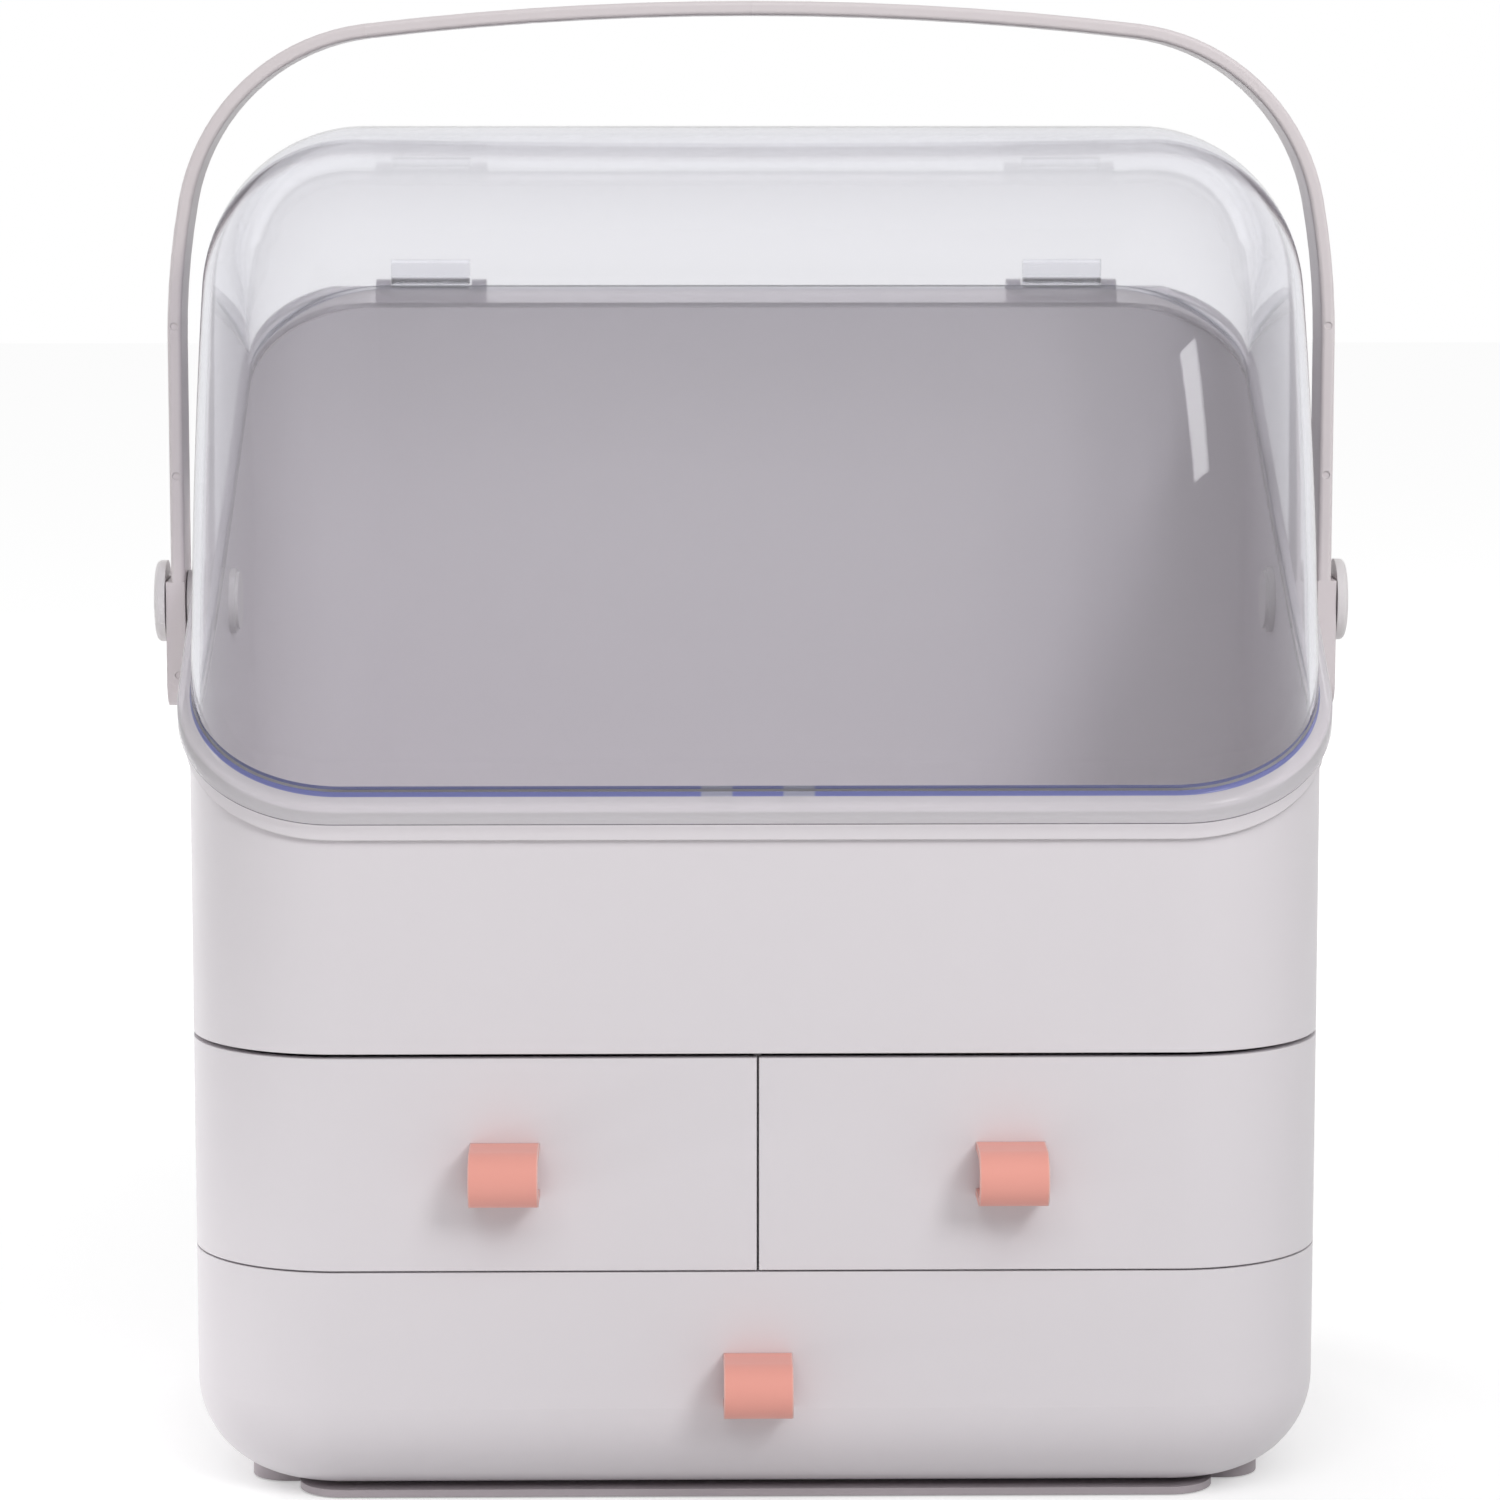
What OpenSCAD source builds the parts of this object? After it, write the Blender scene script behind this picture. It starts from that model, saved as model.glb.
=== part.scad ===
// Table-top organizer with a hinged clear cover, a swinging carry handle and three drawers.
// Millimetres. X is the width, Y runs from the front (negative) to the back, Z is up, 0 is the table.

/* [Body] */
// Width of the body over its side walls
body_w = 296; // [220:1:360]
// Depth of the body from front to back
body_d = 215; // [170:1:260]
// Plan radius of the four upright corners
corner_r = 40; // [28:1:60]
// Radius of the rounded bottom edge
bottom_r = 26; // [14:1:32]
// Height of the underside of the body above the table
body_z = 2.7; // [2:0.1:6]
// Thickness of the moulded outer walls
wall = 2.5; // [1.8:0.1:4]

/* [Foot] */
// Inset of the foot plate from the body's sides
foot_side = 27.5; // [20:0.5:45]
// Inset of the foot plate from the front and the back
foot_end = 15; // [13:0.5:30]
// How far the wings of the foot plate stand out
wing_out = 13.5; // [6:0.5:18]
// How far the wings stop short of the plate's front and back
wing_end = 16; // [10:0.5:40]
// Corner radius of the foot plate
foot_r = 12; // [8:0.5:20]
// Diameter of the four pads
pad_d = 12; // [8:0.5:16]

/* [Levels] */
// Height of the gap between the bottom drawer and the two upper drawers
seam_low = 64.3; // [50:0.5:80]
// Height of the gap between the upper drawers and the tub
seam_high = 120.7; // [105:0.5:140]
// Height of that upper gap, top to bottom
seam_gap = 1.2; // [0.6:0.1:2]
// Height of the tub's rim at the front
rim_z = 182.3; // [165:0.5:200]
// Rise of the rim for each millimetre towards the back
rim_slope = 0.567; // [0.3:0.01:0.8]
// Height of the ledge band that the cover rests on
ledge_h = 4.8; // [3:0.1:8]
// How far the ledge stands out from the wall
ledge_out = 1.3; // [0.6:0.1:2.5]

/* [Cover] */
// Height of the cover's rim band
cover_rim_h = 5.5; // [4:0.1:9]
// Gap left under the closed cover
cover_gap = 0.2; // [0.1:0.05:0.6]
// How far the cover's rim stands out from the body wall
cover_rim_out = 3.1; // [1.5:0.1:3.4]
// Wall thickness of the clear dome
dome_wall = 2.2; // [1.6:0.1:3]
// Height of the top of the dome
dome_z = 356.5; // [335:0.5:365]
// Radius of the dome's top edges seen from the front
dome_r = 42; // [30:1:48]
// How far each side of the dome leans in towards the top
dome_draft = 1.2; // [0:0.1:3]
// Distance of the dome's crest from the front
dome_crest = 107; // [90:1:125]

/* [Cover hinge] */
// Distance of the hinge axis behind the back wall
hinge_back = 5; // [4.6:0.1:8]
// Radius of the hinge barrels
hinge_r = 4.5; // [3.6:0.1:4.5]
// Diameter of the hinge pins
hinge_pin_d = 4; // [3:0.1:5]
// Distance of each hinge from the middle
hinge_x = 92.7; // [70:0.5:100]
// Width of each clear hinge lug
lug_w = 23; // [14:0.5:30]
// Height of the lugs above the rim of the back wall
lug_h = 13.5; // [8:0.5:18]

/* [Handle] */
// Gap between the body's sides and the handle legs
handle_gap = 7; // [5.6:0.1:14]
// Thickness of the handle strap
handle_t = 3.8; // [3:0.1:5]
// Width of the handle strap from front to back
handle_w = 20; // [14:0.5:26]
// Height of the handle pivot
pivot_z = 226.8; // [210:0.5:240]
// Distance of the handle pivot behind the front
pivot_back = 112; // [95:0.5:120]
// Diameter of the pivot pins
pivot_d = 8; // [6:0.1:10]
// Diameter of the outer pivot caps
cap_d = 22.4; // [16:0.2:26]
// Thickness of the caps over the pivots
cap_t = 3; // [2:0.1:5]
// Diameter of the round bosses inside the tub
boss_d = 18; // [12:0.5:22]
// Length of the legs below the pivot
leg_below = 28.6; // [18:0.2:36]
// Height where the legs start to curve in
arch_z = 298.5; // [285:0.5:315]
// Radius of the long side curve
arch_r1 = 204; // [120:1:260]
// Angle turned by the side curve
arch_a1 = 10.8; // [6:0.2:14]
// Radius of the tight corner curve
arch_r2 = 58.5; // [40:0.5:68]
// Angle turned by the corner curve
arch_a2 = 72.5; // [55:0.5:73]

/* [Inside] */
// Thickness of the tub's floor
tub_floor = 3; // [2.4:0.1:5]
// Thickness of the shelf between the drawers
shelf_t = 2.7; // [2:0.1:5]
// Width of the strips that the trays glide on
strip_w = 6; // [4:0.5:12]
// Height of the glide strips
rise = 0.8; // [0.5:0.1:1.6]
// Thickness of the upright between the upper drawers
upright_t = 2; // [1.4:0.1:3]
// Room between the trays and the walls beside them
side_gap = 1; // [0.6:0.1:2]
// Diameter of the screws that hold the tub
screw_d = 2.5; // [2:0.1:4]
// How deep the screws go into their posts
screw_l = 9; // [6:0.5:14]
// Width of the hinge ears
ear_w = 4.2; // [3:0.1:8]
// Width of the stops over the trays
tab_w = 12; // [8:0.5:20]

/* [Drawers] */
// Thickness of the drawer fronts
front_t = 3.5; // [2.4:0.1:5]
// How far the drawer fronts wrap round the corners
wrap_d = 43; // [42:0.5:60]
// Thickness of the tray walls
tray_t = 2.2; // [1.6:0.1:3]
// Room kept behind the trays for the screw posts
tray_room = 17; // [14:0.5:40]
// Gap between neighbouring drawer fronts
front_gap = 0.6; // [0.4:0.1:1.2]

/* [Pulls] */
// Width of each soft pull loop
pull_w = 17.8; // [12:0.2:30]
// Height of each soft pull loop
pull_h = 14.2; // [12:0.2:24]
// How far the pulls stand out
pull_out = 18; // [12:0.5:24]
// Thickness of the pull strap
pull_t = 2; // [1.5:0.1:3]
// How far the upper pulls sit below the middle of their fronts
pull_drop = 1.4; // [0:0.1:6]
// Height of the bottom pull above the table
pull_low = 35.5; // [25:0.5:45]
// Distance of the upper pulls from the middle
pull_x = 65; // [50:0.5:90]

/* [Hidden] */
$fn = 96;
e = 0.01;
hw = body_w / 2;                       // half width
cx = hw - corner_r;                    // corner centre, sideways
cyf = corner_r;                        // front corner centre
cyb = body_d - corner_r;               // back corner centre
back_reach = body_d + hinge_back + hinge_r;
y0 = (back_reach - pull_out) / 2;      // puts the middle of the outline at Y = 0
split = wrap_d + 0.5;                  // front edge of the fixed side walls
seam_top = seam_high + seam_gap / 2;   // underside of the tub
fronts_top = seam_high - seam_gap / 2;
low_top = seam_low - 0.25;             // top of the bottom drawer front
up_bot = seam_low + 0.25;              // bottom of the upper drawer fronts
shelf_z = seam_low;                    // top of the shelf
tray_back = body_d - tray_room;
tray_in = front_t;                     // trays are set in by this much
axis_y = body_d + hinge_back;
axis_z = rim_z + rim_slope * axis_y;
foot_z = 0.4;
wall_top = rim_z + rim_slope * body_d;
high = wall_top + 26;                  // above all of the tub
far = 2 * body_w;                      // past everything
handle_half = hw + handle_gap + handle_t;
hub_t = handle_t + 1.4;
leg_in = handle_half - handle_t;
boss_r = boss_d / 2;
pull_zu = (up_bot + fronts_top) / 2 - pull_drop;
pull_zl = pull_low;
screw_x = cx - 8;
screw_y = body_d - 6;
head_h = 0.64 * screw_d;
head_r = 1.24 * screw_d;
seat_z = seam_top + tub_floor - head_h;
tab_x = hw / 2 - 4;
tab_y = split + 16.5;
shell_c = [0.85, 0.83, 0.84];
front_c = [0.87, 0.85, 0.86];
clear_c = [0.85, 0.85, 0.93, 0.4];
pink_c = [0.92, 0.6, 0.54];
dark_c = [0.35, 0.35, 0.37];

function rim_at(y) = rim_z + rim_slope * y;

// ---- shared outlines: all are drawn with the front at y = 0, then moved back by place() ----
module place() translate([0, -y0, 0]) children();

module plan(i = 0) {
  for (s = [-1, 1]) {
    translate([s * cx, cyf]) circle(corner_r - i);
    translate([s * cx, cyb]) circle(corner_r - i);
  }
  translate([-cx, i]) square([2 * cx, body_d - 2 * i]);
  translate([-(hw - i), cyf]) square([2 * (hw - i), cyb - cyf]);
}
module column(i, z0, z1) translate([0, 0, z0]) linear_extrude(z1 - z0) plan(i);

// section of the rounded bottom edge: x from a to the outside at r
module edge(a, r, i, z1) {
  translate([a, body_z + i]) square([r - bottom_r - a, z1 - body_z - i]);
  translate([a, body_z + bottom_r]) square([r - i - a, z1 - body_z - bottom_r]);
  intersection() {
    translate([r - bottom_r, body_z + bottom_r]) circle(bottom_r - i);
    translate([r - bottom_r - e, body_z + i]) square([bottom_r, bottom_r]);
  }
}
// the whole lower body with its rounded bottom edge, set in by i, up to height z1
module rounded(i, z1) {
  for (s = [0, 1]) mirror([s, 0, 0]) {
    translate([cx, cyf, 0]) rotate([0, 0, -90]) rotate_extrude(angle = 90) edge(0, corner_r, i, z1);
    translate([cx, cyb, 0]) rotate_extrude(angle = 90) edge(0, corner_r, i, z1);
    translate([0, cyb, 0]) rotate([90, 0, 0]) linear_extrude(cyb - cyf) edge(0, hw, i, z1);
  }
  translate([-cx, 0, 0]) rotate([90, 0, 90]) linear_extrude(2 * cx) {
    edge(cyb - 5, body_d, i, z1);
    translate([body_d, 0]) mirror([1, 0]) edge(cyb - 5, body_d, i, z1);
  }
}
// everything between two lines parallel to the sloping rim
module slope(lo, hi, y1 = -body_d / 5, y2 = 1.4 * body_d)
  translate([-far, 0, 0]) rotate([90, 0, 90]) linear_extrude(2 * far)
    polygon([[y1, rim_at(y1) + lo], [y2, rim_at(y2) + lo], [y2, rim_at(y2) + hi], [y1, rim_at(y1) + hi]]);
module box(x1, x2, y1, y2, z1, z2) translate([x1, y1, z1]) cube([x2 - x1, y2 - y1, z2 - z1]);
module xrod(r, x1, x2, y, z) translate([x1, y, z]) rotate([0, 90, 0]) cylinder(r = r, h = x2 - x1);

// ---- base and cabinet ----
foot_a = [hw - foot_side, foot_end, body_d - foot_end, foot_r];   // half width, front, back, corner radius
foot_b = [foot_a[0] + wing_out, foot_end + wing_end, body_d - foot_end - wing_end, foot_r - 2];
module foot_plan() for (f = [foot_a, foot_b]) {
  translate([-f[0], f[1] + f[3]]) square([2 * f[0], f[2] - f[1] - 2 * f[3]]);
  translate([-f[0] + f[3], f[1]]) square([2 * f[0] - 2 * f[3], f[2] - f[1]]);
  for (s = [-1, 1], y = [f[1] + f[3], f[2] - f[3]]) translate([s * (f[0] - f[3]), y]) circle(f[3]);
}
pads = [for (s = [-1, 1], y = [foot_end + 1.6 * pad_d, body_d - foot_end - 1.5 * pad_d]) [s * (foot_a[0] - 1.3 * pad_d), y]];
module foot_pads() color(dark_c) place() for (p = pads) translate([p[0], p[1], 0]) cylinder(d = pad_d, h = foot_z + 1);
module foot_ring() color(shell_c) place() difference() {
  translate([0, 0, foot_z]) linear_extrude(body_z + bottom_r / 6) foot_plan();
  for (p = pads) translate([p[0], p[1], -1]) cylinder(d = pad_d, h = foot_z + 2);
  // the drawer front passes over this part
  translate([0, split, 0]) rotate([90, 0, 0]) linear_extrude(split + 20) {
    edge(0, hw, -0.35, seam_low);
    mirror([1, 0]) edge(0, hw, -0.35, seam_low);
  }
  intersection() { rounded(0, seam_low); box(-far, far, split - 5, far, 0, seam_low); }
}
module cabinet_shell() color(shell_c) place() {
  intersection() {
    difference() { rounded(0, seam_top); rounded(wall, seam_top + 1); }
    box(-far, far, split, far, 0, far);
  }
  for (s = [-1, 1]) difference() {
    translate([s * screw_x, screw_y, shelf_z]) cylinder(r = 1.6 * screw_d, h = seam_top - shelf_z);
    translate([s * screw_x, screw_y, seam_top - screw_l - 3]) cylinder(d = screw_d, h = screw_l + 4);
  }
}
module stop_tab(x, z0, z1) box(x - tab_w / 2, x + tab_w / 2, tab_y, tab_y + tab_w / 4, z0, z1);
module cabinet_shelf() color(shell_c) place() {
  translate([0, 0, shelf_z - shelf_t]) linear_extrude(shelf_t) {
    intersection() { plan(wall); translate([-far, split]) square([2 * far, far]); }
    intersection() { plan(front_t + side_gap); translate([-far, -far]) square([2 * far, far + split + 1]); }
  }
  for (x = [-tab_x, tab_x]) stop_tab(x, shelf_z - shelf_t - 4, shelf_z - shelf_t);
}
module cabinet_partition() color(shell_c) place()
  box(-upright_t / 2, upright_t / 2, front_t + side_gap + 1.5, body_d - wall, shelf_z, seam_top);
module strip(x, z) box(x - strip_w / 2, x + strip_w / 2, split + 2, tray_back - 8, z, z + rise);
module glide_strips() color(shell_c) place() for (s = [-1, 1]) {
  for (x = [24 + upright_t, hw - 30]) strip(s * x, shelf_z);
  strip(s * (hw - 58), body_z + wall);
}

// ---- tub ----
module upper_tub() color(shell_c) place() {
  difference() {
    column(0, seam_top, high);
    column(wall, seam_top + tub_floor, high + 10);
    slope(0, far);
    for (s = [-1, 1]) {
      xrod(pivot_d / 2 + 0.02, s > 0 ? hw - 20 : -hw - 20, s > 0 ? hw + 20 : -hw + 20, pivot_back, pivot_z);
      translate([s * screw_x, screw_y, seam_top - 1]) cylinder(r = screw_d / 2 + 0.35, h = tub_floor + 6);
      translate([s * screw_x, screw_y, seat_z]) cylinder(r = head_r + 0.1, h = tub_floor + 6);
    }
  }
  for (x = [-tab_x, tab_x]) stop_tab(x, seam_top - 4.6, seam_top);
}
module tub_ledge() color(shell_c) place() intersection() {
  difference() { column(-ledge_out, seam_top, high); column(0, seam_top - 10, high + 10); }
  slope(-ledge_h, 0);
  box(-far, far, -50, body_d - 0.3 * corner_r, 0, far);
}
module tub_screws() color(dark_c) place() for (s = [-1, 1]) translate([s * screw_x, screw_y, 0]) {
  translate([0, 0, seat_z]) difference() {
    cylinder(r = head_r, h = head_h);
    for (a = [0, 90]) rotate([0, 0, a]) translate([-0.7 * head_r, -0.4, 0.6 * head_h]) cube([1.4 * head_r, 0.8, head_h]);
  }
  translate([0, 0, seam_top - screw_l]) cylinder(d = screw_d, h = seat_z - seam_top + screw_l + e);
}
ear_gap = 0.5;
module hinge_ears() color(shell_c) place() for (s = [-1, 1], k = [-1, 1]) {
  xe = s * hinge_x + k * (lug_w / 2 + ear_gap + ear_w / 2);
  difference() {
    union() {
      xrod(hinge_r, xe - ear_w / 2, xe + ear_w / 2, axis_y, axis_z);
      translate([xe - ear_w / 2, 0, 0]) rotate([90, 0, 90]) linear_extrude(ear_w)
        polygon([[body_d, axis_z], [axis_y, axis_z], [axis_y, axis_z - hinge_r], [body_d, axis_z - 3.5 * hinge_r]]);
    }
    xrod(hinge_pin_d / 2, xe - ear_w, xe + ear_w, axis_y, axis_z);
    box(-far, far, body_d - 20, body_d, 0, far);
  }
}
module hinge_pins() color(dark_c) place() for (s = [-1, 1]) {
  half = lug_w / 2 + ear_gap + ear_w;
  xrod(hinge_pin_d / 2, s * hinge_x - half, s * hinge_x + half, axis_y, axis_z);
}

// ---- clear cover ----
module cover_rim() color(clear_c) place() {
  difference() {
    intersection() {
      difference() { column(-cover_rim_out, seam_top, high); column(wall, seam_top - 10, high + 10); }
      slope(cover_gap, cover_rim_h);
      box(-far, far, -50, body_d - 0.3, 0, far);
    }
  }
  for (s = [-1, 1]) {
    x1 = s * hinge_x - lug_w / 2;
    x2 = s * hinge_x + lug_w / 2;
    difference() {
      union() {
        xrod(hinge_r, x1, x2, axis_y, axis_z);
        intersection() {
          box(x1, x2, body_d - 0.3, body_d + 3, axis_z - 2, wall_top + lug_h);
          slope(0, 60);
        }
        box(x1, x2, body_d + 0.2, axis_y, axis_z, axis_z + hinge_r);
      }
      xrod(hinge_pin_d / 2 + 0.05, x1 - 1, x2 + 1, axis_y, axis_z);
    }
  }
}
module cover_snaps() color(clear_c) place() intersection() {
  union() for (x = [-9.5, 9.5]) box(x - 4, x + 4, wall + 0.6, wall + 2, 0, far);
  slope(-3.2, cover_gap + e);
}

// dome: level sections whose width, front, back and corner radii follow the height
n_side = 8;
n_corner = 12;
n_front = 4;
n_ring = 22;
function sq(v) = sqrt(max(0, 1 - v * v));
function c_x(z) = hw - dome_r - dome_draft * (z - rim_z) / (dome_z - rim_z);   // corner centre, sideways
function top_sq(z, t) = sq(max(0, (z - dome_z + dome_r) / (dome_r - t)));
function d_rx(z, t) = (dome_r - t) * top_sq(z, t);
function d_f(z, t) = dome_crest - (dome_crest - t) * sq(max(0, (z - rim_z) / (dome_z - t - rim_z)));
function b_sq(z, t) = sq(max(0, (z - wall_top) / (dome_z - t - wall_top)));
function d_b(z, t) = dome_crest + (body_d - t - dome_crest) * b_sq(z, t);
function r_f(z, t) = (cyf - t + 6 * min(1, max(0, (z - rim_z) / 110))) * top_sq(z, t);
function r_b(z, t) = (corner_r - t + 30 * min(1, max(0, (z - wall_top + 20) / 40))) * b_sq(z, t);
function c_f(z, t) = d_f(z, t) + r_f(z, t);
function c_b(z, t) = max(c_f(z, t) + 0.4, d_b(z, t) - r_b(z, t));
n_all = 2 * (n_front + 2 * n_corner + n_side);
function mix(a, b, u) = a + (b - a) * u;
// point j of the outline at height z, running round from the front left
function outline(j, z, t) =
  let (h = n_front, c = n_corner, s = n_side, rx = d_rx(z, t), cxx = c_x(z))
  j < h ? [mix(-cxx, cxx, j / h), d_f(z, t)] :
  j < h + c ? let (g = (j - h) / c * 90) [cxx + rx * sin(g), c_f(z, t) - r_f(z, t) * cos(g)] :
  j < h + c + s ? [cxx + rx, mix(c_f(z, t), c_b(z, t), (j - h - c) / s)] :
  j < h + 2 * c + s ? let (g = (j - h - c - s) / c * 90) [cxx + rx * cos(g), c_b(z, t) + (d_b(z, t) - c_b(z, t)) * sin(g)] :
  let (k = j - h - 2 * c - s)
  k < h ? [mix(cxx, -cxx, k / h), d_b(z, t)] :
  k < h + c ? let (g = (k - h) / c * 90) [-cxx - rx * sin(g), c_b(z, t) + (d_b(z, t) - c_b(z, t)) * cos(g)] :
  k < h + c + s ? [-cxx - rx, mix(c_b(z, t), c_f(z, t), (k - h - c) / s)] :
  let (g = (k - h - c - s) / c * 90) [-cxx - rx * cos(g), c_f(z, t) - r_f(z, t) * sin(g)];
function base_at(j, t, z, n) = n == 0 ? z : base_at(j, t, rim_at(outline(j, z, t)[1]) + cover_rim_h, n - 1);
function bases(t) = [for (j = [0 : n_all - 1]) base_at(j, t, rim_z + 40, 24)];
function ring(t, k, b) = [for (j = [0 : n_all - 1])
  let (z = mix(b[j], dome_z - t - 0.06, sin(90 * k / n_ring)), p = outline(j, z, t)) [p[0], p[1], z]];
// the crown is closed along a spine of points above the middle of the last ring
function spine(t) = let (z = dome_z - t - 0.06, y = (d_f(z, t) + d_b(z, t)) / 2)
  [for (i = [0 : n_front]) [mix(-c_x(z), c_x(z), i / n_front), y, z + 0.06]];
function spine_at(j) = let (k = j - n_front - 2 * n_corner - n_side)
  j <= n_front ? j : k <= 0 ? n_front : k <= n_front ? n_front - k : 0;
module cover_dome() color(clear_c) place() {
  b0 = bases(0);
  b1 = bases(dome_wall);
  out = [for (k = [0 : n_ring]) each ring(0, k, b0)];
  inn = [for (k = [0 : n_ring]) each ring(dome_wall, k, b1)];
  m = n_all;
  o = (n_ring + 1) * m;
  faces = concat(
    [for (k = [0 : n_ring - 1], j = [0 : m - 1], q = [0, 1])
      let (a = k * m + j, b = k * m + (j + 1) % m, c = a + m, d = b + m) q == 0 ? [a, c, b] : [b, c, d]],
    [for (k = [0 : n_ring - 1], j = [0 : m - 1], q = [0, 1])
      let (a = o + k * m + j, b = o + k * m + (j + 1) % m, c = a + m, d = b + m) q == 0 ? [a, b, c] : [b, d, c]],
    [for (i = [0, 1], j = [0 : m - 1], q = [0, 1])
      let (a = i * o + n_ring * m + j, b = i * o + n_ring * m + (j + 1) % m,
           u = 2 * o + i * (n_front + 1) + spine_at(j), v = 2 * o + i * (n_front + 1) + spine_at(j + 1))
      if (q == 0 || u != v) let (f = q == 0 ? [a, b, v] : [a, v, u]) i == 0 ? [f[1], f[0], f[2]] : f],
    [for (j = [0 : m - 1], q = [0, 1]) let (a = j, b = (j + 1) % m, c = o + a, d = o + b) q == 0 ? [a, b, c] : [b, d, c]]);
  polyhedron(concat(out, inn, spine(0), spine(dome_wall)), faces, convexity = 6);
}

// ---- carry handle ----
arch_a = arch_a1 + arch_a2;
arch_r3 = (handle_half - arch_r1 * (1 - cos(arch_a1)) - arch_r2 * (cos(arch_a1) - cos(arch_a))) / cos(arch_a);
c1 = [handle_half - arch_r1, arch_z];
c2 = c1 + (arch_r1 - arch_r2) * [cos(arch_a1), sin(arch_a1)];
c3 = c2 + (arch_r2 - arch_r3) * [cos(arch_a), sin(arch_a)];
handle_top = c3[1] + arch_r3;
// strap section: x is the thickness measured inwards from r, y is front to back, g thickens it all round
module strap(r, g = 0, k = 1.2) {
  w = handle_w / 2 + g;
  translate([r - handle_t - g, -w + k]) square([handle_t + 2 * g, 2 * w - 2 * k]);
  translate([r - handle_t - g + k, -w]) square([handle_t + 2 * g - 2 * k, 2 * w]);
  for (x = [r - handle_t - g + k, r + g - k], y = [k - w, w - k]) translate([x, y]) circle(k, $fn = 24);
}
module turned(c, a) translate([c[0], pivot_back, c[1]]) rotate([90, 0, 0]) rotate([0, 0, a]) children();
module bend(c, r, a, b) turned(c, a) rotate_extrude(angle = b - a) strap(r);
// joins two bends where they meet
module collar(c, r, a) turned(c, a) translate([0, 0.2, 0]) rotate([90, 0, 0]) linear_extrude(0.4) strap(r, 0.02);
leg_end = pivot_z - leg_below;
module handle_bow() color(shell_c) place() {
  for (s = [0, 1]) mirror([s, 0, 0]) {
    difference() {
      union() {
        bend(c1, arch_r1, 0, arch_a1);
        bend(c2, arch_r2, arch_a1, arch_a);
        bend(c3, arch_r3, arch_a, 90);
        collar(c1, arch_r1, arch_a1);
        collar(c2, arch_r2, arch_a);
        translate([0, pivot_back, leg_end + 6]) linear_extrude(arch_z - leg_end - 6) strap(handle_half);
        // thicker foot of the leg with rounded lower corners
        translate([leg_in, pivot_back, 0]) rotate([90, 0, 90]) linear_extrude(hub_t) {
          translate([-handle_w / 2, leg_end + 7]) square([handle_w, pivot_z + 6 - leg_end - 7]);
          translate([-handle_w / 2 + 7, leg_end]) square([handle_w - 14, 8]);
          for (y = [-handle_w / 2 + 7, handle_w / 2 - 7]) translate([y, leg_end + 7]) circle(7);
        }
      }
      xrod(pivot_d / 2 + 0.05, leg_in - 5, leg_in + 15, pivot_back, pivot_z);
      for (z = [leg_end + 9, pivot_z + 35, arch_z + 4]) translate([handle_half - handle_t / 2, pivot_back - handle_w / 2 - 1, z]) rotate([-90, 0, 0]) cylinder(r = 1, h = 1.3);
    }
  }
  collar(c3, arch_r3, 90);
}
module pivot_pins() color(shell_c) place() for (s = [0, 1]) mirror([s, 0, 0]) {
  xrod(pivot_d / 2, hw - wall - 1, leg_in + hub_t + 0.3, pivot_back, pivot_z);
  xrod(boss_r - 1, hw - wall - 3, hw - wall, pivot_back, pivot_z);
  xrod(boss_r, hw - wall - 2, hw - wall, pivot_back, pivot_z);
}
module pivot_washers() color(shell_c) place() for (s = [0, 1]) mirror([s, 0, 0]) difference() {
  xrod(boss_r - 0.5, hw, leg_in - 0.3, pivot_back, pivot_z);
  xrod(pivot_d / 2, hw - 2, leg_in + 2, pivot_back, pivot_z);
}
module pivot_caps() color(shell_c) place() for (s = [0, 1]) mirror([s, 0, 0])
  translate([leg_in + hub_t + 0.3, pivot_back, pivot_z]) rotate([0, 90, 0]) rotate_extrude() {
    square([cap_d / 2 - cap_t / 2, cap_t]);
    square([cap_d / 2, cap_t / 2]);
    intersection() {
      translate([cap_d / 2 - cap_t / 2, cap_t / 2]) circle(cap_t / 2);
      square([cap_d, cap_t]);
    }
  }

// ---- drawers ----
// soft loop: two arms leave the front and meet in a half round
module pull(x, z, w = pull_w) translate([x - w / 2, 0, z]) rotate([90, 0, 90]) linear_extrude(w) difference() {
  union() {
    translate([-pull_out + pull_h / 2, 0]) circle(pull_h / 2);
    translate([-pull_out + pull_h / 2, -pull_h / 2]) square([pull_out - pull_h / 2 + 2.6, pull_h]);
  }
  translate([-pull_out + pull_h / 2, 0]) circle(pull_h / 2 - pull_t);
  translate([-pull_out + pull_h / 2, -pull_h / 2 + pull_t]) square([pull_out + 10, pull_h - 2 * pull_t]);
}
module pockets(x, z) for (s = [-1, 1])
  box(x - pull_w / 2, x + pull_w / 2, -5, 2.6, z + s * (pull_h / 2 - pull_t / 2) - pull_t / 2, z + s * (pull_h / 2 - pull_t / 2) + pull_t / 2);
up_tray_z = shelf_z + rise + 0.2;
low_tray_z = body_z + wall + rise + 0.2;
module up_tray() difference() {
  intersection() { column(tray_in, up_tray_z, fronts_top - 1.3); box(-far, -upright_t / 2 - side_gap, -10, tray_back, 0, far); }
  intersection() { column(tray_in + tray_t, up_tray_z + tray_t, far); box(-far, -upright_t / 2 - side_gap - tray_t, -10, tray_back - tray_t, 0, far); }
}
module up_front() difference() {
  intersection() { difference() { column(0, up_bot, fronts_top); column(front_t, 0, far); }
    box(-far, -front_gap / 2, -20, wrap_d, 0, far); }
  pockets(-pull_x, pull_zu);
}
module left_tray() color(front_c) place() up_tray();
module right_tray() color(front_c) place() mirror([1, 0, 0]) up_tray();
module left_front() color(front_c) place() up_front();
module right_front() color(front_c) place() mirror([1, 0, 0]) up_front();
module left_pull() color(pink_c) place() pull(-pull_x, pull_zu);
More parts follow.
